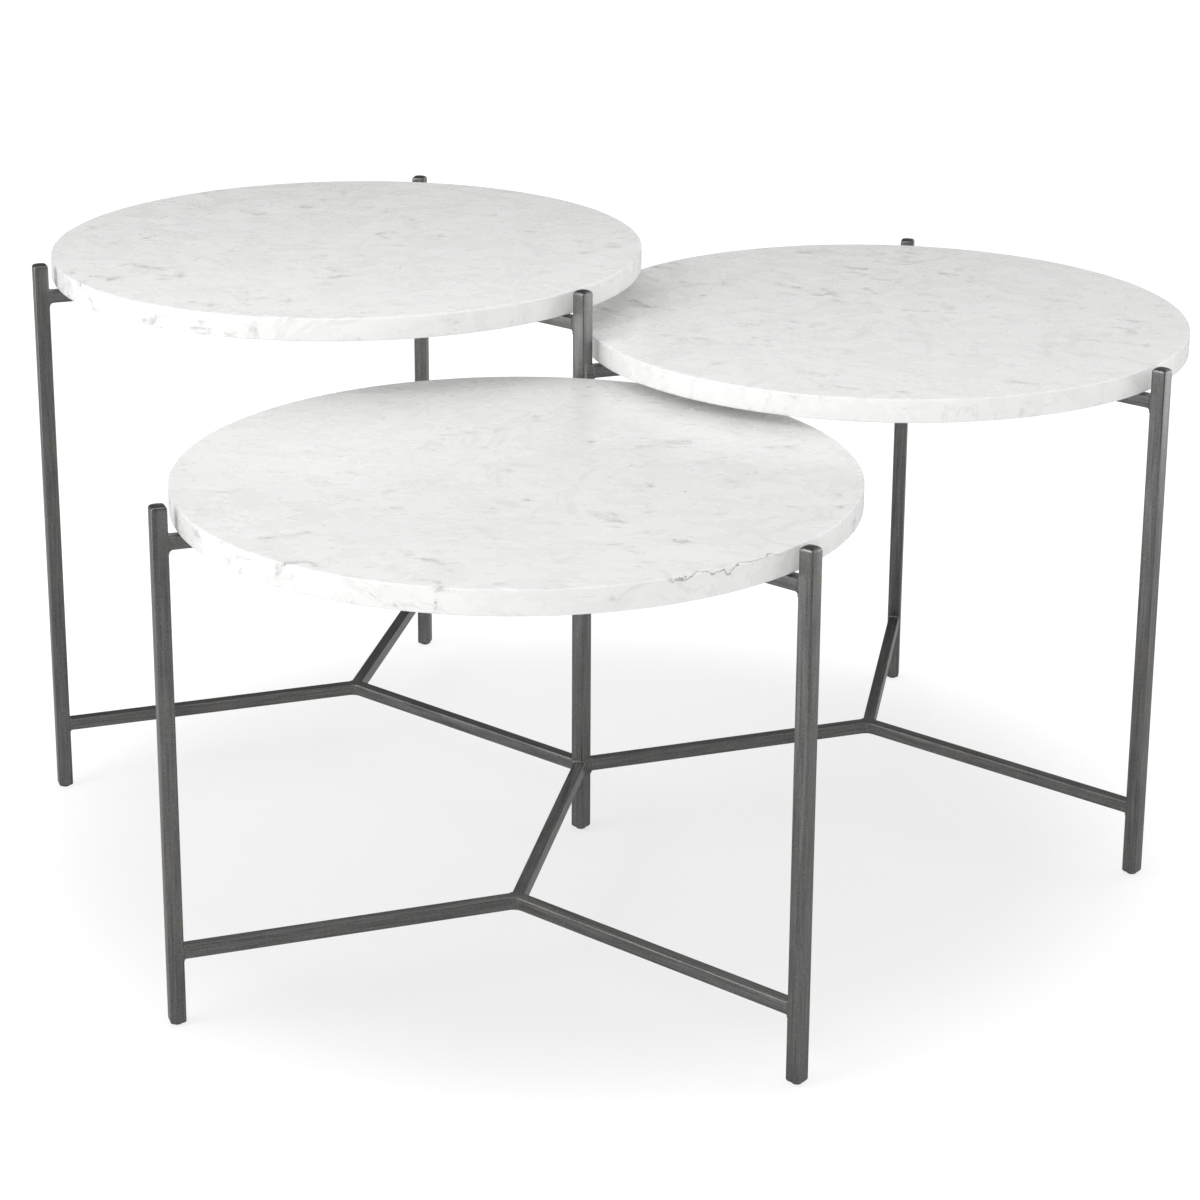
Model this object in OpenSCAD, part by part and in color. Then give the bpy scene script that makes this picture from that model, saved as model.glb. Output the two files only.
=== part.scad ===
// Three-tier cluster table. Three equal round marble tops stand at three heights
// on one welded frame of square steel bar. The frame is three three-armed stars
// that share the leg in the middle. Origin: foot of that middle leg, on the floor.

/* [Marble tops] */
// Diameter of each round top
top_d = 508; // [400:1:640]
// Thickness of the marble
top_t = 19; // [12:0.5:30]
// Radius of the eased arris round both faces of a top
arris_r = 1.5; // [0.5:0.1:4]
// Height of the low top's upper face above the floor
low_z = 403; // [320:1:560]
// Clear gap between the low top and the mid top above it
mid_gap = 8; // [3:0.5:80]
// Clear gap between the mid top and the high top above it
high_gap = 21; // [3:0.5:80]
// Clearance between the rim of a top and the faces of its legs
rim_gap = 7; // [2:0.5:20]

/* [Legs] */
// Width of the square bar that the legs are cut from
leg_w = 12; // [8:0.5:25]
// Radius along the long edges of a leg
leg_r = 1; // [0.3:0.1:3]
// How far a leg's tip stands above the marble it holds in place
tip_h = 3; // [1:0.5:15]
// Chamfer round both ends of a leg
end_chamfer = 1.2; // [0.3:0.1:3]

/* [Arms] */
// Width of the square bar that the stretchers and rails are cut from
arm_w = 10; // [6:0.5:20]
// Depth of the same bar
arm_h = 10; // [6:0.5:30]
// Radius along the long edges of an arm
arm_r = 0.8; // [0.3:0.1:2.5]
// Height of the stretchers' upper face above the floor
stretcher_z = 63; // [30:1:250]

/* [Pads and glides] */
// Diameter of the clear pads that a top rests on
pad_d = 8; // [5:0.5:9.5]
// Thickness of those pads
pad_t = 1.5; // [0.8:0.1:5]
// Distance in from a top's rim to the middle of its pads
pad_inset = 40; // [15:1:120]
// Play between the pads and the marble that lies on them
seat_gap = 0.05; // [0.02:0.01:0.3]
// Diameter of the glide under each leg
glide_d = 8; // [5:0.5:9.5]
// Thickness of that glide
glide_t = 1.2; // [0.6:0.1:5]

/* [Hidden] */
$fn = 96;

// Directions, seen from above, from the middle leg to each star's hub
high_turn = 150;
mid_turn = 30;
low_turn = -90;
// Directions of a star's three arms, measured from its own hub direction
side_ccw = 60;
side_cw = -60;
to_centre = 180;
arm_dirs = [side_ccw, side_cw, to_centre];

// Hub to leg axis: the rim clears the inner face of each leg by rim_gap
arm_len = top_d / 2 + rim_gap + leg_w / 2;
mid_z = low_z + mid_gap + top_t;
high_z = mid_z + high_gap + top_t;
pad_at = top_d / 2 - pad_inset;
// Length of the point that closes three arms, 120 degrees apart, at a hub
hub_mitre = arm_w / 2 / tan(60);
// Overshoot of a cutting shape past the faces it trims
over = 1;

steel_colour = "#4f4e4b";
stone_colour = "#e6e5e3";
clear_colour = "#d9dcda";
glide_colour = "#1e1e1e";

// Height of the upper face of the rails under a top whose upper face is at top_z
function rail_z(top_z) = top_z - top_t - seat_gap - pad_t;

// Rectangle w by h about the origin, with its corners rounded to radius r
module rounded_rect(w, h, r) {
  square([w - 2 * r, h], center = true);
  square([w, h - 2 * r], center = true);
  for (sx = [-1, 1], sy = [-1, 1])
    translate([sx * (w / 2 - r), sy * (h / 2 - r)]) circle(r = r);
}

// Upright slab, leg_w wide in X, whose ends are chamfered: trims a leg one way
module chamfered_slab(len) {
  half = leg_w / 2;
  c = end_chamfer;
  side = [[half, c], [half, len - c], [half - c, len]];
  mirrored = [for (i = [len(side) - 1 : -1 : 0]) [-side[i].x, side[i].y]];
  rotate([90, 0, 0])
    linear_extrude(leg_w + 2 * over, center = true)
      polygon(concat([[half - c, 0]], side, mirrored, [[-(half - c), 0]]));
}

// Square bar that stands on its glide and reaches up to tip_z
module leg_bar(tip_z) {
  bar_len = tip_z - glide_t;
  color(steel_colour)
    translate([0, 0, glide_t])
      intersection() {
        linear_extrude(bar_len) rounded_rect(leg_w, leg_w, leg_r);
        chamfered_slab(bar_len);
        rotate([0, 0, 90]) chamfered_slab(bar_len);
      }
}

// Plan of an arm along +X from a hub. Its near end is mitred so that the three arms
// of a star close without overlapping, and its far end too if far_mitre is set
function arm_plan(len, far_mitre) = [
  [0, 0], [hub_mitre, -arm_w / 2], [hub_mitre, -arm_w], [len - far_mitre, -arm_w],
  [len - far_mitre, -arm_w / 2], [len, 0], [len - far_mitre, arm_w / 2],
  [len - far_mitre, arm_w], [hub_mitre, arm_w], [hub_mitre, arm_w / 2]
];

// Bar along +X from a hub, its upper face at z = 0
module arm_bar(len, far_mitre = 0) {
  intersection() {
    rotate([90, 0, 90])
      linear_extrude(len) translate([0, -arm_h / 2]) rounded_rect(arm_w, arm_h, arm_r);
    translate([0, 0, -arm_h - over])
      linear_extrude(arm_h + 2 * over) polygon(arm_plan(len, far_mitre));
  }
}

// Puts its children at a star's hub, turned towards one of its arms
module at_hub(turn, dir) {
  rotate([0, 0, turn]) translate([arm_len, 0, 0]) rotate([0, 0, dir]) children();
}

// Puts its children on the axis of the leg at the end of one arm
module at_leg(turn, dir) {
  at_hub(turn, dir) translate([arm_len, 0, 0]) children();
}

// Arm that ends square against the inner face of a leg that is turned to it
module butted_arm(turn, dir, z) {
  color(steel_colour)
    at_hub(turn, dir) translate([0, 0, z]) arm_bar(arm_len - leg_w / 2);
}

// Arm that meets the middle leg at a slant: it stops short of the other stars' arms
// and is coped to the faces of the leg
module coped_arm(turn, z) {
  color(steel_colour)
    difference() {
      at_hub(turn, to_centre) translate([0, 0, z]) arm_bar(arm_len, hub_mitre);
      rotate([0, 0, high_turn])
        translate([0, 0, z - arm_h / 2]) cube([leg_w, leg_w, arm_h + 2 * over], center = true);
    }
}

// Round slab about its own axis, both arrises eased
module slab() {
  rim_r = top_d / 2;
  rotate_extrude() {
    square([rim_r - arris_r, top_t]);
    translate([0, arris_r]) square([rim_r, top_t - 2 * arris_r]);
    for (y = [arris_r, top_t - arris_r]) translate([rim_r - arris_r, y]) circle(r = arris_r);
  }
}

// Marble top of one star, its upper face at top_z
module marble_top(turn, top_z) {
  color(stone_colour) at_hub(turn, 0) translate([0, 0, top_z - top_t]) slab();
}

// The clear pads on the three rails of one star
module pads(turn, top_z) {
  color(clear_colour)
    for (dir = arm_dirs)
      at_hub(turn, dir) translate([pad_at, 0, rail_z(top_z)]) cylinder(h = pad_t, d = pad_d);
}

// Glide on the floor, under the foot of a leg
module glide() {
  color(glide_colour) cylinder(h = glide_t, d = glide_d);
}

module leg_centre() { rotate([0, 0, high_turn]) leg_bar(high_z + tip_h); }
module leg_high_left() { at_leg(high_turn, side_ccw) leg_bar(high_z + tip_h); }
module leg_high_back() { at_leg(high_turn, side_cw) leg_bar(high_z + tip_h); }
module leg_mid_back() { at_leg(mid_turn, side_ccw) leg_bar(mid_z + tip_h); }
module leg_mid_right() { at_leg(mid_turn, side_cw) leg_bar(mid_z + tip_h); }
module leg_low_right() { at_leg(low_turn, side_ccw) leg_bar(low_z + tip_h); }
module leg_low_left() { at_leg(low_turn, side_cw) leg_bar(low_z + tip_h); }

module stretcher_high_left() { butted_arm(high_turn, side_ccw, stretcher_z); }
module stretcher_high_back() { butted_arm(high_turn, side_cw, stretcher_z); }
module stretcher_high_centre() { butted_arm(high_turn, to_centre, stretcher_z); }
module stretcher_mid_back() { butted_arm(mid_turn, side_ccw, stretcher_z); }
module stretcher_mid_right() { butted_arm(mid_turn, side_cw, stretcher_z); }
module stretcher_mid_centre() { coped_arm(mid_turn, stretcher_z); }
module stretcher_low_right() { butted_arm(low_turn, side_ccw, stretcher_z); }
module stretcher_low_left() { butted_arm(low_turn, side_cw, stretcher_z); }
module stretcher_low_centre() { coped_arm(low_turn, stretcher_z); }

module rail_high_left() { butted_arm(high_turn, side_ccw, rail_z(high_z)); }
module rail_high_back() { butted_arm(high_turn, side_cw, rail_z(high_z)); }
module rail_high_centre() { butted_arm(high_turn, to_centre, rail_z(high_z)); }
module rail_mid_back() { butted_arm(mid_turn, side_ccw, rail_z(mid_z)); }
module rail_mid_right() { butted_arm(mid_turn, side_cw, rail_z(mid_z)); }
module rail_mid_centre() { coped_arm(mid_turn, rail_z(mid_z)); }
module rail_low_right() { butted_arm(low_turn, side_ccw, rail_z(low_z)); }
module rail_low_left() { butted_arm(low_turn, side_cw, rail_z(low_z)); }
module rail_low_centre() { coped_arm(low_turn, rail_z(low_z)); }

module top_high() { marble_top(high_turn, high_z); }
module top_mid() { marble_top(mid_turn, mid_z); }
module top_low() { marble_top(low_turn, low_z); }

module pads_high() { pads(high_turn, high_z); }
module pads_mid() { pads(mid_turn, mid_z); }
module pads_low() { pads(low_turn, low_z); }

module glide_centre() { glide(); }
module glide_high_left() { at_leg(high_turn, side_ccw) glide(); }
module glide_high_back() { at_leg(high_turn, side_cw) glide(); }
module glide_mid_back() { at_leg(mid_turn, side_ccw) glide(); }
module glide_mid_right() { at_leg(mid_turn, side_cw) glide(); }
module glide_low_right() { at_leg(low_turn, side_ccw) glide(); }
module glide_low_left() { at_leg(low_turn, side_cw) glide(); }

leg_centre();
leg_high_left();
leg_high_back();
leg_mid_back();
leg_mid_right();
leg_low_right();
leg_low_left();
stretcher_high_left();
stretcher_high_back();
stretcher_high_centre();
stretcher_mid_back();
stretcher_mid_right();
stretcher_mid_centre();
stretcher_low_right();
stretcher_low_left();
stretcher_low_centre();
rail_high_left();
rail_high_back();
rail_high_centre();
rail_mid_back();
rail_mid_right();
rail_mid_centre();
rail_low_right();
rail_low_left();
rail_low_centre();
top_high();
top_mid();
top_low();
pads_high();
pads_mid();
pads_low();
glide_centre();
glide_high_left();
glide_high_back();
glide_mid_back();
glide_mid_right();
glide_low_right();
glide_low_left();
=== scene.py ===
# %% [markdown]
# # A table of three marble discs on one steel frame
#
# Three equal round marble tops stand at three heights on a frame of thin square steel bar.
# The frame is three three-armed stars, one under each top, welded to a leg that they share.
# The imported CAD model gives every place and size. This lesson builds what the eye sees on
# top of it: bent and welded bar, stone with an eased arris, clear bumpers and soft light.

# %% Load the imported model
import math
import random

import bmesh
import bpy
from mathutils import Matrix, Vector, noise


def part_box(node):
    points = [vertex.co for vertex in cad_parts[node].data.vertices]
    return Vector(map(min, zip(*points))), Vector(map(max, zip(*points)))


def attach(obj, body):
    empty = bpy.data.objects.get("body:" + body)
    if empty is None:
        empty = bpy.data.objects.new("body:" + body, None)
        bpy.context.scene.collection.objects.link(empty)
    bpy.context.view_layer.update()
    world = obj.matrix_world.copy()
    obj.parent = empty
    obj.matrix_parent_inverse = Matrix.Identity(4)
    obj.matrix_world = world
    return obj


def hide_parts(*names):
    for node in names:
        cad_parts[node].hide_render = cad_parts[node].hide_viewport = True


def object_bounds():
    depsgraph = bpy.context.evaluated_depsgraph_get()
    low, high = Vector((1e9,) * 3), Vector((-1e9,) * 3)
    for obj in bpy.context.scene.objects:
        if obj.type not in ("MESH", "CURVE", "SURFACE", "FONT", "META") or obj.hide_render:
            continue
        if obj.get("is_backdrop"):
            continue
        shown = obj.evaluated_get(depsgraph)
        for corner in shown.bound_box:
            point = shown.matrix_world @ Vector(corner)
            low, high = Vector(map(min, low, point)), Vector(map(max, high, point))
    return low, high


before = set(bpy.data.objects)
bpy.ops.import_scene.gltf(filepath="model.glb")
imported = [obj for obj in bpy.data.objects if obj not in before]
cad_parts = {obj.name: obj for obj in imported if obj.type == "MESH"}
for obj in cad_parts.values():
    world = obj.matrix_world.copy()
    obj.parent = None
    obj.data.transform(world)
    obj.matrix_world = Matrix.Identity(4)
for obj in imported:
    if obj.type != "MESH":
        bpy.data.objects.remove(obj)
cad_low, cad_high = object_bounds()
MM = 0.001
SAME_POINT = 1e-6  # points closer than this, in metres, are one point

# %% [markdown]
# ## Where the legs and hubs stand
#
# A round top is centred on its hub, and a leg stands in the middle of its own box, so both
# places are read from the model. Nothing is typed in twice: if the CAD moves, this follows.

# %% Places of the legs and hubs
STARS = {
    "high": ("high_left", "high_back", "centre"),
    "mid": ("mid_back", "mid_right", "centre"),
    "low": ("low_right", "low_left", "centre"),
}


def middle(node):
    low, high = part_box(node)
    return (low + high) / 2


leg_names = sorted({leg for legs in STARS.values() for leg in legs})
foot = {leg: middle(f"leg_{leg}").to_2d() for leg in leg_names}
hub = {star: middle(f"top_{star}").to_2d() for star in STARS}
BAR = 12 * MM
ARM = 10 * MM
for star, place in hub.items():
    print(f"hub {star}: {place.x / MM:.1f}, {place.y / MM:.1f} mm")

# %% [markdown]
# ## Colours and nodes
#
# Colours are written as the hex values that a paint card or a screen gives. Blender works
# in linear light, so one function turns them. A second small function adds a node, sets
# its fields and joins its inputs, which keeps a long material readable.

# %% Colour and node helpers
def paint(hex_code):
    """An sRGB hex colour as linear RGBA."""
    parts = [int(hex_code[i:i + 2], 16) / 255 for i in (1, 3, 5)]
    linear = [p / 12.92 if p <= 0.04045 else ((p + 0.055) / 1.055) ** 2.4 for p in parts]
    return (*linear, 1.0)


def add_node(tree, kind, fields=None, **inputs):
    """Adds a node. fields are its settings; inputs are sockets to join or values to set."""
    node = tree.nodes.new(kind)
    for name, value in (fields or {}).items():
        setattr(node, name, value)
    for name, value in inputs.items():
        socket = node.inputs[int(name[1:])] if name[0] == "i" and name[1:].isdigit() else (
            node.inputs[name.replace("_", " ")])
        if isinstance(value, bpy.types.NodeSocket):
            tree.links.new(value, socket)
        else:
            socket.default_value = value
    return node


def new_finish(name):
    """An empty material with its output node, and its tree."""
    material = bpy.data.materials.new(name)
    material.use_nodes = True
    material.node_tree.nodes.clear()
    return material, material.node_tree


def set_ramp(node, stops):
    """Gives a colour ramp its stops, as (place, colour) pairs."""
    ramp = node.color_ramp
    while len(ramp.elements) < len(stops):
        ramp.elements.new(0.5)
    for element, (place, colour) in zip(ramp.elements, stops):
        element.position = place
        element.color = colour
    return node


print("white card in linear light:", [round(c, 3) for c in paint("#E9E8E6")[:3]])

# %% [markdown]
# ## Camera
#
# The table is looked at from in front, a little to its right and from above the tops, from
# about two and a half metres, with a long lens. The lens is shifted a little, so that the
# camera tilts less and the legs draw together less.

# %% Camera
STANDS = (0.4288, -2.3391, 1.0801)
LOOKS_DOWN, TURNED_LEFT = 16.82, 11.14
LENS = 90.9
SHIFT = (0.0464, -0.148)

camera = bpy.data.objects.new("camera", bpy.data.cameras.new("camera"))
bpy.context.scene.collection.objects.link(camera)
camera.location = STANDS
camera.rotation_euler = (math.radians(90 - LOOKS_DOWN), 0, math.radians(TURNED_LEFT))
camera.data.lens = LENS
camera.data.sensor_width = 36
camera.data.shift_x, camera.data.shift_y = SHIFT
camera.data.clip_end = 60
bpy.context.scene.camera = camera
print("camera stands", round(camera.location.length, 2), "m from the middle leg's foot")

# %% [markdown]
# ## Floor and light
#
# A pale object on a pale floor wants light from all round and soft shadows. The world is a
# tent whose two side walls are bright, so that the steel has light and dark to mirror. Soft
# boxes at the left, overhead and at both sides draw the lines of light along the bars. Three
# large fills lift the stone and are not mirrored. The floor gets brighter away from the
# table, until it is plain white.

# %% Floor
FLOOR_DROP = 0.2 * MM  # just under the glides, so that the two faces don't flicker
MIRRORED_GLOW = 0.34

floor_mesh = bpy.data.meshes.new("floor")
floor = bpy.data.objects.new("floor", floor_mesh)
bpy.context.scene.collection.objects.link(floor)
sheet = bmesh.new()
bmesh.ops.create_grid(sheet, x_segments=1, y_segments=1, size=20)
bmesh.ops.translate(sheet, vec=(0, 0, -FLOOR_DROP), verts=sheet.verts)
sheet.to_mesh(floor_mesh)
sheet.free()
floor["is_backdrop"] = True

floor_finish, tree = new_finish("painted_studio_floor")
place = add_node(tree, "ShaderNodeTexCoord").outputs["Object"]
far = add_node(tree, "ShaderNodeVectorMath", {"operation": "LENGTH"}, i0=place).outputs["Value"]
glow = add_node(tree, "ShaderNodeMapRange", {"interpolation_type": "SMOOTHSTEP"},
                Value=far, From_Min=0.34, From_Max=0.62,
                To_Min=0.67, To_Max=0.92).outputs["Result"]
# Most of the glow is for the camera only: the steel mirrors a greyer floor
seen = add_node(tree, "ShaderNodeLightPath").outputs["Is Camera Ray"]
share = add_node(tree, "ShaderNodeMapRange", Value=seen,
                 To_Min=MIRRORED_GLOW, To_Max=1.0).outputs[0]
glow = add_node(tree, "ShaderNodeMath", {"operation": "MULTIPLY"}, i0=glow, i1=share).outputs[0]
skin = add_node(tree, "ShaderNodeBsdfPrincipled", Base_Color=paint("#8A8A8A"), Roughness=0.9,
                Specular_IOR_Level=0.0, Emission_Color=(1, 1, 1, 1), Emission_Strength=glow)
add_node(tree, "ShaderNodeOutputMaterial", Surface=skin.outputs["BSDF"])
floor.data.materials.append(floor_finish)
print("floor:", [round(side) for side in floor.dimensions.to_2d()], "m")

# %% [markdown]
# ## Tent and lamps
#
# A light tent is cloth round the table, lit from outside. Here the world stands in for it,
# brighter across the table than in front and behind. Area lamps stand in for the soft boxes,
# because their size sets how wide a line of light they draw on the bars.

# %% World and soft boxes
world = bpy.data.worlds.new("tent")
bpy.context.scene.world = world
world.use_nodes = True
tree = world.node_tree
tree.nodes.clear()
way = add_node(tree, "ShaderNodeTexCoord").outputs["Generated"]
# The tent's two side walls are bright; in front and behind it is open, and so dark
across = Vector((0.88, 0.47, 0.0)).normalized()
towards = add_node(tree, "ShaderNodeVectorMath", {"operation": "DOT_PRODUCT"},
                   i0=way, i1=tuple(across)).outputs["Value"]
sideways = add_node(tree, "ShaderNodeMath", {"operation": "ABSOLUTE"}, i0=towards).outputs[0]
tent = add_node(tree, "ShaderNodeMapRange", {"interpolation_type": "SMOOTHSTEP"},
                Value=sideways, From_Min=0.3, From_Max=0.95, To_Min=0.16, To_Max=0.95)
seen = add_node(tree, "ShaderNodeLightPath").outputs["Is Camera Ray"]
tent_light = add_node(tree, "ShaderNodeBackground", Color=(1, 1, 1, 1),
                      Strength=tent.outputs["Result"])
plain_white = add_node(tree, "ShaderNodeBackground", Color=(1, 1, 1, 1), Strength=1.05)
both = add_node(tree, "ShaderNodeMixShader", i0=seen,
                i1=tent_light.outputs[0], i2=plain_white.outputs[0])
add_node(tree, "ShaderNodeOutputWorld", Surface=both.outputs[0])


def soft_box(name, place, aim, width, height, power, mirrored=True):
    """A rectangular lamp that faces the point it is aimed at; a fill is not mirrored."""
    lamp = bpy.data.objects.new(name, bpy.data.lights.new(name, "AREA"))
    bpy.context.scene.collection.objects.link(lamp)
    lamp.data.shape = "RECTANGLE"
    lamp.data.size, lamp.data.size_y = width, height
    lamp.data.energy = power
    lamp.location = place
    lamp.rotation_euler = (Vector(aim) - Vector(place)).to_track_quat("-Z", "Y").to_euler()
    lamp.visible_camera = False
    lamp.visible_glossy = mirrored


soft_box("key_left", (-1.7, -1.5, 1.9), (0, -0.05, 0.3), 1.5, 1.2, 23)
soft_box("overhead_strip", (0.0, -0.75, 2.3), (0, 0, 0.2), 2.4, 0.45, 8)
soft_box("side_left", (-2.3, -1.0, 0.35), (0, 0, 0.3), 1.2, 0.7, 6)
soft_box("side_right", (2.3, 1.0, 0.35), (0, 0, 0.3), 1.2, 0.7, 8)
soft_box("fill_over", (0, 1.2, 3.2), (0, 0.1, 0), 4, 4, 61, mirrored=False)
soft_box("fill_front", (1.6, -5.4, 1.2), (0, 0, 0.35), 5, 2, 112, mirrored=False)
soft_box("fill_from_floor", (0, 0, 0.01), (0, 0, 1), 6, 6, 44, mirrored=False)
view = bpy.context.scene.view_settings
view.view_transform = "Standard"
view.look = "None"

# %% [markdown]
# ## Square bar, grown ring by ring
#
# Drawn square bar has softly rounded corners, its cut ends are ground round, and where it
# is welded to another bar the weld leaves a small hollow flare. A plain box with a bevel
# would give the corners but not the flare. So a rounded outline is drawn at each station
# along the bar, smaller at a ground end and larger at a weld, and each outline is bridged to
# the one before.

# %% Outline and growth of a bar
CORNER_STEPS = 4
BEND_STEPS = 6
YZ_FROM_XY = Matrix(((0, 0, 1), (1, 0, 0), (0, 1, 0)))


class Bar:
    """A bar that grows along +X through rounded outlines that are bridged to one another."""

    def __init__(self, width, depth, corner):
        self.bm = bmesh.new()
        self.width, self.depth, self.corner = width, depth, corner
        self.cap = None
        self.grown = False

    def outline(self, x, width, depth, corner, lift):
        """A flat face with rounded corners, across the bar at x."""
        verts = bmesh.ops.create_grid(self.bm, x_segments=1, y_segments=1, size=0.5)["verts"]
        bmesh.ops.scale(self.bm, vec=(width, depth, 1), verts=verts)
        before = set(self.bm.verts) - set(verts)
        bmesh.ops.bevel(self.bm, geom=verts, offset=corner, affect="VERTICES",
                        segments=CORNER_STEPS, profile=0.5, material=-1)
        verts = [v for v in self.bm.verts if v not in before]
        bmesh.ops.rotate(self.bm, matrix=YZ_FROM_XY, verts=verts)
        bmesh.ops.translate(self.bm, vec=(x, 0, lift), verts=verts)
        return verts[0].link_faces[0]

    def station(self, x, side=0.0, top=0.0, bottom=0.0, corner=None):
        """The next outline at x, grown by so much at the sides, top and bottom."""
        face = self.outline(x, self.width + 2 * side, self.depth + top + bottom,
                            corner or self.corner, (top - bottom) / 2)
        if self.cap:
            bmesh.ops.bridge_loops(self.bm, edges=list(self.cap.edges) + list(face.edges))
            # The first outline closes the bar's end; those between would be walls inside it
            if self.grown:
                bmesh.ops.delete(self.bm, geom=[self.cap], context="FACES_ONLY")
            self.grown = True
        self.cap = face
        return self

    def bend(self, x, radius, degrees):
        """Carries the outline at x round a level bend; a positive angle turns it to +Y."""
        turn = math.radians(degrees)
        made = bmesh.ops.spin(self.bm, geom=[self.cap], cent=(x, math.copysign(radius, turn), 0),
                              axis=(0, 0, 1), angle=turn, steps=BEND_STEPS)["geom_last"]
        self.cap = [g for g in made if isinstance(g, bmesh.types.BMFace)][0]
        return self

    def put(self, tilt, heading, place):
        """Tilts the finished bar about Y, turns it to its heading and moves it to its place."""
        for angle, axis in ((tilt, "Y"), (heading, "Z")):
            bmesh.ops.rotate(self.bm, matrix=Matrix.Rotation(angle, 3, axis), verts=self.bm.verts)
        bmesh.ops.translate(self.bm, vec=place, verts=self.bm.verts)
        return self.bm


print("a 12 mm bar's outline has", 4 * (CORNER_STEPS + 1), "corners")

# %% [markdown]
# ## From mesh to piece
#
# Every piece ends the same way: points that touch are merged, the faces are turned outwards,
# and the faces are shaded smooth except over sharp edges. Then it gets its finish, rides on
# a body of the model and stands in for its CAD node, so one function does all of it.

# %% Finish a mesh and make it a piece
def piece_from(bm, name, finish, body, nodes=(), smooth_below=35):
    """Turns a bmesh into a piece that rides on a body and stands for CAD nodes."""
    bmesh.ops.remove_doubles(bm, verts=bm.verts, dist=SAME_POINT)
    bmesh.ops.recalc_face_normals(bm, faces=bm.faces)
    mesh = bpy.data.meshes.new(name)
    for face in bm.faces:
        face.smooth = True
    bm.to_mesh(mesh)
    bm.free()
    mesh.set_sharp_from_angle(angle=math.radians(smooth_below))
    mesh.materials.append(finish)
    piece = bpy.data.objects.new(name, mesh)
    bpy.context.scene.collection.objects.link(piece)
    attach(piece, body)
    if nodes:
        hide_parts(*nodes)
    return piece


# %% [markdown]
# ## Gunmetal steel
#
# The bar is mild steel, ground along its length, blackened to gunmetal and sealed with a
# satin lacquer. That gives a dark grey metal with broad soft highlights, faint streaks
# along the bar, a fine speckle in the sealed coat and slightly browner clouds. The streaks
# have to run along each bar, so the pattern is turned to the bar's own direction.

# %% Gunmetal finish
STREAK_STRETCH = 0.03
ARM_TURNS = (30, 90, 150)  # the arms' directions in plan, in degrees


def gunmetal(name, turn_degrees=None):
    """Blackened steel whose grind streaks run upright, or level along a plan direction."""
    finish, tree = new_finish(name)
    place = add_node(tree, "ShaderNodeTexCoord").outputs["Object"]
    if turn_degrees is None:
        along = add_node(tree, "ShaderNodeMapping", Vector=place, Scale=(1, 1, STREAK_STRETCH))
    else:
        turned = add_node(tree, "ShaderNodeMapping", Vector=place,
                          Rotation=(0, 0, math.radians(-turn_degrees)))
        along = add_node(tree, "ShaderNodeMapping", Vector=turned.outputs[0],
                         Scale=(STREAK_STRETCH, 1, 1))
    # Grind streaks: 1.6 mm apart, coarser than the real 0.1 mm grit so that they show
    streaks = add_node(tree, "ShaderNodeTexNoise", Vector=along.outputs[0], Scale=600,
                       Detail=3, Roughness=0.6).outputs["Fac"]
    # Speckle of the sealed coat: grains 1.2 mm across, coarser than real so that they show
    speckle = add_node(tree, "ShaderNodeTexNoise", Vector=place, Scale=800,
                       Detail=3, Roughness=0.75).outputs["Fac"]
    # Clouds in the blackening, 30 mm across
    clouds = add_node(tree, "ShaderNodeTexNoise", Vector=place, Scale=33,
                      Detail=4, Roughness=0.55).outputs["Fac"]
    tint = set_ramp(add_node(tree, "ShaderNodeValToRGB", Fac=clouds), [
        (0.35, paint("#7A7A7A")), (0.52, paint("#80807F")), (0.70, paint("#82807B"))])
    grain = add_node(tree, "ShaderNodeMix", {"data_type": "FLOAT"}, i0=0.5, i2=streaks, i3=speckle)
    shade = add_node(tree, "ShaderNodeMapRange", Value=grain.outputs[0],
                     From_Min=0.35, From_Max=0.65, To_Min=0.62, To_Max=1.45)
    colour = add_node(tree, "ShaderNodeVectorMath", {"operation": "SCALE"},
                      i0=tint.outputs["Color"], Scale=shade.outputs["Result"])
    rough = add_node(tree, "ShaderNodeMapRange", Value=streaks, From_Min=0.3, From_Max=0.7,
                     To_Min=0.30, To_Max=0.44)
    relief = add_node(tree, "ShaderNodeBump", Strength=0.35, Distance=0.1 * MM,
                      Height=grain.outputs[0])
    skin = add_node(tree, "ShaderNodeBsdfPrincipled", Base_Color=colour.outputs[0], Metallic=1.0,
                    Roughness=rough.outputs["Result"], Normal=relief.outputs[0])
    add_node(tree, "ShaderNodeOutputMaterial", Surface=skin.outputs["BSDF"])
    return finish


upright_steel = gunmetal("blackened_steel_upright")
level_steel = {turn: gunmetal(f"blackened_steel_{turn}", turn) for turn in ARM_TURNS}
print("steel finishes:", 1 + len(level_steel))

# %% [markdown]
# ## Legs
#
# Seven uprights of 12 mm bar. Their corners are rounded to just over a millimetre. The tips
# are ground to a soft dome, so that they don't catch a sleeve, and the feet are eased less,
# so that they stand flat on their glides. A leg is turned so that its flat inner face meets
# its arm squarely.

# %% Legs
LEG_CORNER = 1.2 * MM
TIP_CORNER = 3.6 * MM
GROUND = 2.6 * MM
FOOT_GROUND = 2.1 * MM
FOOT_ROUNDER = 1.0 * MM
# The crown of the tip, above the ground shoulder
CROWN = 0.3 * MM
CROWN_ROWS = [(0.12 * MM, 3.4 * MM, 2.5 * MM), (0.0, 4.8 * MM, 1.1 * MM)]
INSET_SHARE, ROUNDING = 0.85, 0.6
END_STEPS = 6
quarter = [math.radians(90 * step / END_STEPS) for step in range(END_STEPS + 1)]


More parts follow.
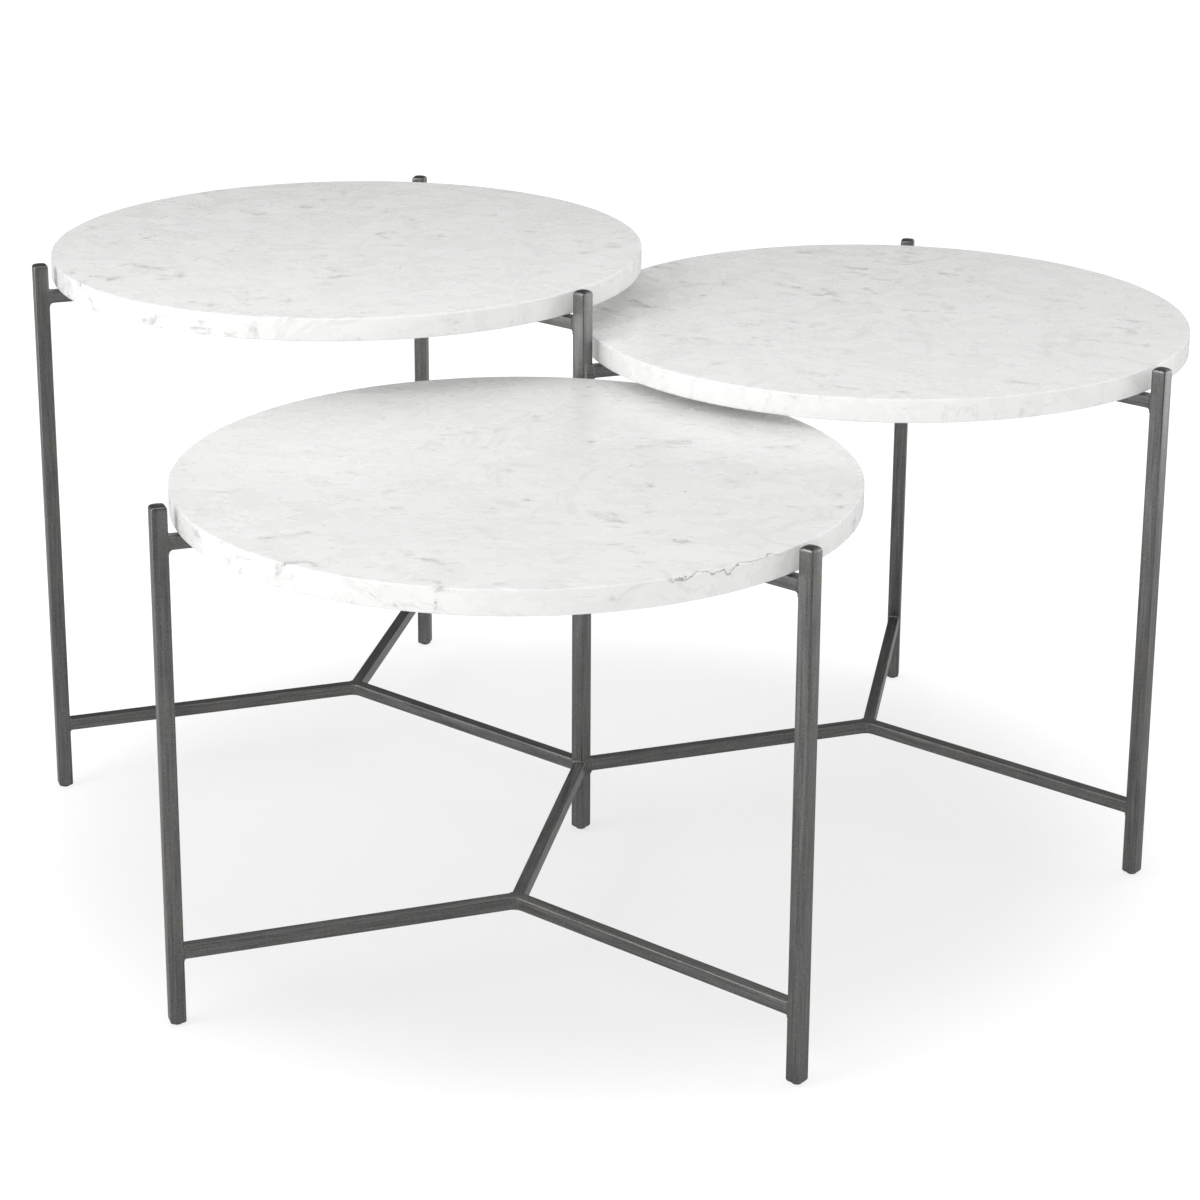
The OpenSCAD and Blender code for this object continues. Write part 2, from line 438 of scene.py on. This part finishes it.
def leg(name):
    low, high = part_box(f"leg_{name}")
    star = next(star for star, legs in STARS.items() if name in legs)
    arm = foot[name] - hub[star]
    length = high.z - low.z
    # Each round end as (distance from the end, inset, corner radius), shoulder first
    tip = [(CROWN + GROUND * (1 - math.sin(a)), INSET_SHARE * GROUND * (1 - math.cos(a)),
            LEG_CORNER + (TIP_CORNER - LEG_CORNER) * (1 - math.cos(a)) ** ROUNDING)
           for a in quarter] + CROWN_ROWS
    sole = [(FOOT_GROUND * (1 - math.sin(a)), FOOT_GROUND * (1 - math.cos(a)),
             LEG_CORNER + FOOT_ROUNDER * (1 - math.cos(a)) ** ROUNDING) for a in quarter]
    bar = Bar(BAR, BAR, LEG_CORNER)
    for away, inset, corner in reversed(sole):
        bar.station(away, -inset, -inset, -inset, corner)
    for away, inset, corner in tip:
        bar.station(length - away, -inset, -inset, -inset, corner)
    bm = bar.put(math.radians(-90), math.atan2(arm.y, arm.x), (*foot[name], low.z))
    return piece_from(bm, f"ground_leg_{name}", upright_steel, "frame",
                      [f"leg_{name}"])


legs = [leg(name) for name in leg_names]
print("legs:", [round(p.dimensions.z / MM, 1) for p in legs], "mm tall")

# %% [markdown]
# ## Arms of the stars
#
# Two arms of each star are one bar, bent through 60 degrees round a former, and the third
# is welded to the outside of the bend and ground flush. A mitre would show a sharp inner
# corner, but here the eye meets a small soft bend with a glint on it. Each arm is its own
# piece, so the bend is split in its middle. Every arm is welded to its leg all round, and
# the hollow flare of that weld is deeper under a rail, where the welder could reach best.

# %% Arms
ARM_CORNER = 0.9 * MM
BEND_RADIUS = 14 * MM
HALF_BEND = 30  # degrees, as each arm of a bent pair takes half of the bend
FLARE_IN = 1.5 * MM  # how deep an arm that meets its leg squarely starts inside it
SLANT_START, SLANT_MORE = 0.5 * MM, 1.2 * MM  # the same for a slanting one, and its longer face
BENT_PAIRS = {"high": ("high_left", "centre"), "mid": ("mid_right", "centre"),
              "low": ("low_right", "low_left")}
# How far the weld spreads at the leg: sideways, upwards, downwards
WELDS = {"stretcher": (0.9 * MM, 1.6 * MM, 1.8 * MM), "rail": (0.9 * MM, 2.0 * MM, 3.4 * MM)}
# The same at the hub, where the weld is ground flush above and below
FLUSH = 0.04 * MM
HUB_WELD = (1.6 * MM, FLUSH, FLUSH)
HUB_STUB, STUB_SIDE = 2.4 * MM, 0.8 * MM


def arm_node(kind, star, leg_name):
    return f"{kind}_{star}_centre" if leg_name == "centre" else f"{kind}_{leg_name}"


def flare(bar, start, weld, inwards=1):
    """Stations of a weld's hollow flare that dies out inwards from its start."""
    side, top, bottom = weld
    reach = max(weld)
    for angle in reversed(quarter) if inwards > 0 else quarter:
        share = 1 - math.cos(angle)
        x = start + inwards * reach * (1 - math.sin(angle))
        bar.station(x, side * share, top * share, bottom * share)


def arm(kind, star, leg_name):
    node = arm_node(kind, star, leg_name)
    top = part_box(node)[1].z
    way = hub[star] - foot[leg_name]
    square_to_leg = leg_name != "centre" or star == "high"
    face = BAR / 2 if square_to_leg else BAR / 2 + SLANT_MORE
    side, up, down = WELDS[kind]
    bar = Bar(ARM, ARM, ARM_CORNER)
    # An arm that meets the leg at a slant starts deep inside it, so that no gap shows
    bar.station(face - FLARE_IN if square_to_leg else SLANT_START, side, up, down)
    flare(bar, face, WELDS[kind])
    tangent = BEND_RADIUS * math.tan(math.radians(HALF_BEND))
    pair = BENT_PAIRS[star]
    if leg_name in pair:
        partner = foot[pair[0] if leg_name == pair[1] else pair[1]] - hub[star]
        left = way.x * partner.y - way.y * partner.x > 0
        bar.station(way.length - tangent)
        bar.bend(way.length - tangent, BEND_RADIUS, HALF_BEND if left else -HALF_BEND)
    else:
        # The bend cuts the corner, so its outer face lies nearer to the hub than half an arm
        cuts = BEND_RADIUS * (1 / math.cos(math.radians(HALF_BEND)) - 1)
        meet = way.length - (ARM / 2 - cuts)
        flare(bar, meet, HUB_WELD, -1)
        bar.station(meet + HUB_STUB, STUB_SIDE, FLUSH, FLUSH)
    heading = math.degrees(math.atan2(way.y, way.x)) % 180
    finish = level_steel[min(level_steel, key=lambda turn: abs(turn - heading))]
    bm = bar.put(0, math.atan2(way.y, way.x), (*foot[leg_name], top - ARM / 2))
    return piece_from(bm, f"welded_{node}", finish, "frame", [node])


arms = [arm(kind, star, leg_name) for kind in WELDS
        for star in STARS for leg_name in STARS[star]]
print("arms:", len(arms), "each", round(max(p.dimensions.y for p in arms) / MM), "mm at most in Y")

# %% [markdown]
# ## Marble
#
# The tops are white marble, sawn to 19 mm, honed to a soft polish and sealed. Up close it is
# never one white: there is a fine mottle, short feathery smudges of grey that lie the way the
# bed was squeezed, thin streaks, and a few tiny dark grains at the hearts of the smudges.
# Each layer is a noise cut off at a level and laid over the one below, so a small function
# makes the cut and another one lays the colour on.

# %% Layers of stone
def cut(tree, value, start, end, strength=1.0):
    """A soft step from 0 to strength as the value goes from start to end."""
    return add_node(tree, "ShaderNodeMapRange", {"interpolation_type": "SMOOTHSTEP"}, Value=value,
                    From_Min=start, From_Max=end, To_Min=0.0, To_Max=strength).outputs[0]


def times(tree, first, second):
    return add_node(tree, "ShaderNodeMath", {"operation": "MULTIPLY"},
                    i0=first, i1=second).outputs[0]


def over(tree, amount, below, colour):
    """Lays a colour over the one below by the amount."""
    return add_node(tree, "ShaderNodeMix", {"data_type": "RGBA"}, i0=amount, i6=below,
                    i7=colour).outputs[2]


def cloud(tree, place, scale, detail, roughness, distortion=0.0):
    return add_node(tree, "ShaderNodeTexNoise", Vector=place, Scale=scale, Detail=detail,
                    Roughness=roughness, Distortion=distortion).outputs["Fac"]


print("layers of stone: mottle, smudges, streaks, wisps and grains")

# %% [markdown]
# ## A healed crack
#
# The low top has one hairline that opened in the bed and was filled by nature long ago. It
# wanders over the arris, so it is drawn by distance: how far a point of the stone lies from a
# wavy line round the rim, cut off a hand's width along.

# %% Crack in the low top
CRACK_AT = math.radians(-44)


def fissure(tree, here, spot, radius):
    """A healed crack over the upper arris, 90 mm long; spot is the centre of the upper face."""
    out = add_node(tree, "ShaderNodeVectorMath", {"operation": "SUBTRACT"}, i0=here, i1=spot)
    part = add_node(tree, "ShaderNodeSeparateXYZ", Vector=out.outputs[0])
    flat = add_node(tree, "ShaderNodeCombineXYZ", X=part.outputs["X"], Y=part.outputs["Y"], Z=0.0)
    reach = add_node(tree, "ShaderNodeVectorMath", {"operation": "LENGTH"},
                     i0=flat.outputs[0]).outputs["Value"]
    # Way over the arris: inwards on the top is minus, down the rim is plus
    over_arris = add_node(tree, "ShaderNodeMath", {"operation": "SUBTRACT"},
                          i0=reach, i1=part.outputs["Z"])
    # It wanders between 7 mm inside the arris and 9 mm down the rim, in waves 24 mm long
    wander = cloud(tree, here, 42, 4, 0.62)
    wave = add_node(tree, "ShaderNodeMapRange", Value=wander, From_Min=0.3, From_Max=0.7,
                    To_Min=radius - 7 * MM, To_Max=radius + 9 * MM)
    off = add_node(tree, "ShaderNodeMath", {"operation": "SUBTRACT"},
                   i0=over_arris.outputs[0], i1=wave.outputs[0])
    width = add_node(tree, "ShaderNodeMath", {"operation": "ABSOLUTE"}, i0=off.outputs[0])
    heart = (spot[0] + radius * math.cos(CRACK_AT), spot[1] + radius * math.sin(CRACK_AT),
             spot[2])
    away = add_node(tree, "ShaderNodeVectorMath", {"operation": "DISTANCE"}, i0=here, i1=heart)
    return times(tree, cut(tree, width.outputs[0], 1.1 * MM, 0.3 * MM),
                 cut(tree, away.outputs["Value"], 56 * MM, 38 * MM))


print("crack at", round(math.degrees(CRACK_AT)), "degrees round the low top")

# %% [markdown]
# ## One stone for each top
#
# The three tops come from one block, but no two slabs match. One function lays the layers on
# in order, and each top gives its own turn, place in the pattern and whiteness. The low top's
# whiteness is set darker as painted shade, against the stronger light that falls on it. The
# pattern is solid, so a smudge on the upper face runs on down the rim, as it does in stone.

# %% Marble finish
def honed_marble(name, centre, turn_degrees, shift, stone_tone_and_shade, crack=None):
    finish, tree = new_finish(name)
    here = add_node(tree, "ShaderNodeTexCoord").outputs["Object"]
    centred = add_node(tree, "ShaderNodeVectorMath", {"operation": "SUBTRACT"}, i0=here, i1=centre)
    # One unit of the pattern is 100 mm of stone
    stone = add_node(tree, "ShaderNodeMapping", Vector=centred.outputs[0], Location=shift,
                     Rotation=(0, 0, math.radians(turn_degrees)), Scale=(10, 10, 10)).outputs[0]
    squeezed = add_node(tree, "ShaderNodeMapping", Vector=stone, Scale=(0.7, 1.0, 1.0)).outputs[0]
    drawn = add_node(tree, "ShaderNodeMapping", Vector=stone, Scale=(0.38, 1.0, 1.0)).outputs[0]
    # Mottle: blotches 20 mm across on clouds 100 mm across
    broad = cloud(tree, stone, 1.1, 4, 0.6, 0.5)
    mottle = cloud(tree, squeezed, 5.0, 3, 0.55, 0.3)
    both = add_node(tree, "ShaderNodeMix", {"data_type": "FLOAT"},
                    i0=0.5, i2=broad, i3=mottle).outputs[0]
    stained = set_ramp(add_node(tree, "ShaderNodeValToRGB", Fac=both), [
        (0.30, paint(stone_tone_and_shade[0])), (0.50, paint(stone_tone_and_shade[1])), (0.70, paint(stone_tone_and_shade[2]))]).outputs["Color"]
    # Feathery smudges, on waves of 31 by 22 mm, gathered where the clouds are pale
    smudge = cloud(tree, squeezed, 4.6, 9, 0.74, 0.5)
    gather = cut(tree, broad, 0.48, 0.58)
    smudges = times(tree, cut(tree, smudge, 0.54, 0.66), gather)
    look = over(tree, times(tree, smudges, 0.65), stained, paint("#A6A6A5"))
    # Thin streaks, 20 to 30 mm long
    streaks = times(tree, cut(tree, cloud(tree, drawn, 10, 7, 0.68, 0.7), 0.57, 0.69, 0.6),
                    cut(tree, cloud(tree, stone, 2.1, 3, 0.6), 0.48, 0.62))
    look = over(tree, streaks, look, paint("#ABABAA"))
    # Wisps of soft grey, 8 mm wide and as long as a hand
    off = add_node(tree, "ShaderNodeMath", {"operation": "SUBTRACT"},
                   i0=cloud(tree, stone, 0.8, 6, 0.55, 1.2), i1=0.5).outputs[0]
    crest = add_node(tree, "ShaderNodeMath", {"operation": "ABSOLUTE"}, i0=off).outputs[0]
    wisps = times(tree, cut(tree, crest, 0.02, 0.0, 0.22), cut(tree, mottle, 0.40, 0.55))
    look = over(tree, wisps, look, paint("#B4B4B2"))
    # Dark grains at the hearts of the smudges: one cell in six, 2 mm across
    cells = add_node(tree, "ShaderNodeTexVoronoi", {"feature": "F1"}, Vector=stone, Scale=16.0)
    pick = add_node(tree, "ShaderNodeSeparateColor", Color=cells.outputs["Color"]).outputs[0]
    grains = times(tree, cut(tree, cells.outputs["Distance"], 0.26, 0.10),
                   cut(tree, pick, 0.83, 0.86))
    hearts = cut(tree, smudge, 0.55, 0.62, 0.9)
    look = over(tree, times(tree, grains, hearts), look, paint("#6F6F6C"))
    if crack:
        look = over(tree, times(tree, fissure(tree, here, *crack), 0.75), look, paint("#858581"))
    rough = add_node(tree, "ShaderNodeMapRange", Value=mottle, From_Min=0.3, From_Max=0.7,
                     To_Min=0.24, To_Max=0.32)
    # Honing leaves the face very slightly wavy, 30 mm from crest to crest
    relief = add_node(tree, "ShaderNodeBump", Strength=0.1, Distance=0.3 * MM,
                      Height=cloud(tree, stone, 3.0, 1, 0.5))
    skin = add_node(tree, "ShaderNodeBsdfPrincipled", Base_Color=look,
                    Roughness=rough.outputs[0], IOR=1.5, Normal=relief.outputs[0])
    add_node(tree, "ShaderNodeOutputMaterial", Surface=skin.outputs["BSDF"])
    return finish


# Turn of the bed, place in the pattern, dark, middle and pale tone; the low top's tones carry
# painted shade
STONES = {
    "high": (0, (3.1, 1.7, 0.4), ("#E7E7E6", "#EBEBEA", "#EEEEED")),
    "mid": (8, (-4.6, 2.9, 1.3), ("#E7E7E6", "#EBEBEA", "#EEEEED")),
    # Darker than the other two tops as painted shade, for the stronger light that falls on the low
    # top
    "low": (-5, (0.8, -6.2, 2.2), ("#E3E3E2", "#E8E8E7", "#ECECEB")),
}
low_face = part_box("top_low")
low_crack = ((hub["low"].x, hub["low"].y, low_face[1].z), (low_face[1].x - low_face[0].x) / 2)
marble = {star: honed_marble(f"honed_white_marble_{star}", tuple(middle(f"top_{star}")),
                             *STONES[star], crack=low_crack if star == "low" else None)
          for star in STARS}
print("stones:", list(marble))

# %% [markdown]
# ## Tops
#
# A top is a disc whose arrises are eased by hand with a stone, so they are never quite even.
# Half of its outline is drawn once and spun round the axis, and then the points of the rim
# are moved in by up to 0.15 mm, which makes the line of light along the arris waver as it
# does on real stone. Nine points of the lower arris are knocked in by half a millimetre to a
# millimetre: the small chips that a stone edge always has.

# %% Tops
RIM_STEPS = 384
ARRIS = 1.5 * MM
ARRIS_STEPS = 5
WORN_BAND = 3 * MM
# Wear as (waves per metre, depth in mm)
WEAR = ((90, 0.10), (400, 0.05))
CHIPS = 9
CHIP_IN, CHIP_UP = (0.5, 1.1), (0.4, 0.9)  # mm


def slab(star):
    low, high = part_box(f"top_{star}")
    centre = (low + high) / 2
    radius, thick = (high.x - low.x) / 2, high.z - low.z
    bm = bmesh.new()
    bmesh.ops.create_grid(bm, x_segments=1, y_segments=1, size=0.5)
    bmesh.ops.scale(bm, vec=(radius, thick, 1), verts=bm.verts)
    bmesh.ops.translate(bm, vec=(radius / 2, thick / 2, 0), verts=bm.verts)
    outer = [v for v in bm.verts if v.co.x > radius / 2]
    bmesh.ops.bevel(bm, geom=outer, offset=ARRIS, affect="VERTICES", segments=ARRIS_STEPS,
                    profile=0.5, material=-1)
    bmesh.ops.rotate(bm, matrix=Matrix.Rotation(math.radians(90), 3, "X"), verts=bm.verts)
    bmesh.ops.delete(bm, geom=list(bm.faces), context="FACES_ONLY")
    axis_edge = [e for e in bm.edges if all(v.co.x < SAME_POINT for v in e.verts)]
    bmesh.ops.delete(bm, geom=axis_edge, context="EDGES")
    bmesh.ops.spin(bm, geom=list(bm.edges) + list(bm.verts), cent=(0, 0, 0), axis=(0, 0, 1),
                   angle=math.tau, steps=RIM_STEPS, use_merge=True)
    bmesh.ops.remove_doubles(bm, verts=bm.verts, dist=SAME_POINT)
    bmesh.ops.translate(bm, vec=(centre.x, centre.y, low.z), verts=bm.verts)
    for v in bm.verts:
        out = Vector((v.co.x - centre.x, v.co.y - centre.y, 0))
        if out.length > radius - WORN_BAND:
            wear = sum(noise.noise(v.co * waves) * depth * MM for waves, depth in WEAR)
            v.co -= out.normalized() * max(wear, 0.0)
    chance = random.Random(star)
    lower = [v for v in bm.verts if abs(v.co.z - low.z) < 0.1 * MM
             and (v.co.to_2d() - centre.to_2d()).length > radius - 2 * MM]
    # Sorted, so that the same points are picked on every run
    lower.sort(key=lambda v: (round(v.co.x, 5), round(v.co.y, 5)))
    for v in chance.sample(lower, CHIPS):
        inwards = Vector((centre.x - v.co.x, centre.y - v.co.y, 0)).normalized()
        v.co += inwards * chance.uniform(*CHIP_IN) * MM
        v.co.z += chance.uniform(*CHIP_UP) * MM
    return piece_from(bm, f"marble_top_{star}", marble[star], f"{star}_top",
                      [f"top_{star}"], smooth_below=50)


slabs = {star: slab(star) for star in STARS}
print("tops:", {star: [round(d / MM, 1) for d in p.dimensions] for star, p in slabs.items()})

# %% [markdown]
# ## Bumpers and glides
#
# Clear silicone bumpers on the rails keep the stone off the steel: low domes, stuck down by
# their flat side. Under each leg is a black nylon glide with a softened edge. Both are
# moulded, so they are smooth apart from a little haze or grain.

# %% Clear silicone and nylon
silicone, tree = new_finish("moulded_clear_silicone")
place = add_node(tree, "ShaderNodeTexCoord").outputs["Object"]
# Moulding haze: blotches 2 mm across
haze = add_node(tree, "ShaderNodeTexNoise", Vector=place, Scale=500, Detail=2).outputs["Fac"]
rough = add_node(tree, "ShaderNodeMapRange", Value=haze, To_Min=0.12, To_Max=0.3)
skin = add_node(tree, "ShaderNodeBsdfPrincipled", Base_Color=paint("#F2F5F4"), IOR=1.41,
                Roughness=rough.outputs[0], Transmission_Weight=0.85)
add_node(tree, "ShaderNodeOutputMaterial", Surface=skin.outputs["BSDF"])

nylon, tree = new_finish("moulded_black_nylon")
place = add_node(tree, "ShaderNodeTexCoord").outputs["Object"]
# Fine mould grain, half a millimetre
grain = add_node(tree, "ShaderNodeTexNoise", Vector=place, Scale=2000, Detail=2).outputs["Fac"]
shade = set_ramp(add_node(tree, "ShaderNodeValToRGB", Fac=grain), [
    (0.3, paint("#1C1C1C")), (0.7, paint("#2A2A29"))])
relief = add_node(tree, "ShaderNodeBump", Strength=0.3, Distance=0.1 * MM, Height=grain)
skin = add_node(tree, "ShaderNodeBsdfPrincipled", Base_Color=shade.outputs["Color"], IOR=1.53,
                Roughness=0.55, Normal=relief.outputs[0])
add_node(tree, "ShaderNodeOutputMaterial", Surface=skin.outputs["BSDF"])
print("moulded finishes:", silicone.name, "and", nylon.name)

# %% [markdown]
# ## Low round shapes
#
# A bumper and a glide are the same shape, one upside down: a disc with one eased edge. It
# starts as a circle, is extruded to its height, and then only the free edge is bevelled.

# %% Bumpers and glides
BUMPER_AT, BUMPER_RADIUS, BUMPER_EASE = 214 * MM, 4 * MM, 0.9 * MM
GLIDE_EASE = 0.5 * MM


def low_disc(bm, radius, height, ease, place, flip=False):
    """Adds a disc with its upper edge eased, or its lower one if flipped, standing on place."""
    part = bmesh.new()
    bmesh.ops.create_circle(part, cap_ends=True, segments=40, radius=radius)
    made = bmesh.ops.extrude_face_region(part, geom=list(part.faces))["geom"]
    top = [g for g in made if isinstance(g, bmesh.types.BMVert)]
    bmesh.ops.translate(part, vec=(0, 0, height), verts=top)
    edges = [e for e in part.edges if all(v in top for v in e.verts)]
    bmesh.ops.bevel(part, geom=edges, offset=ease, offset_type="OFFSET", affect="EDGES",
                    segments=5, profile=0.5, material=-1)
    if flip:
        bmesh.ops.rotate(part, matrix=Matrix.Rotation(math.pi, 3, "X"), verts=part.verts)
        bmesh.ops.translate(part, vec=(0, 0, height), verts=part.verts)
    bmesh.ops.translate(part, vec=place, verts=part.verts)
    scratch = bpy.data.meshes.new("scratch")
    part.to_mesh(scratch)
    part.free()
    bm.from_mesh(scratch)
    bpy.data.meshes.remove(scratch)


for star in STARS:
    low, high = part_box(f"pads_{star}")
    bm = bmesh.new()
    for leg_name in STARS[star]:
        spot = hub[star] + (foot[leg_name] - hub[star]).normalized() * BUMPER_AT
        low_disc(bm, BUMPER_RADIUS, high.z - low.z, BUMPER_EASE, (*spot, low.z))
    piece_from(bm, f"bumpers_{star}", silicone, "frame", [f"pads_{star}"])

for name in leg_names:
    low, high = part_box(f"glide_{name}")
    bm = bmesh.new()
    low_disc(bm, (high.x - low.x) / 2, high.z - low.z, GLIDE_EASE, (*foot[name], low.z),
             flip=True)
    piece_from(bm, f"nylon_glide_{name}", nylon, "frame", [f"glide_{name}"])

# %% Finish
seen_low, seen_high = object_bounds()
grown = [round((b - a) / MM, 2) for a, b in zip(cad_high, seen_high)]
print("grown by", grown, "mm at the top corner")
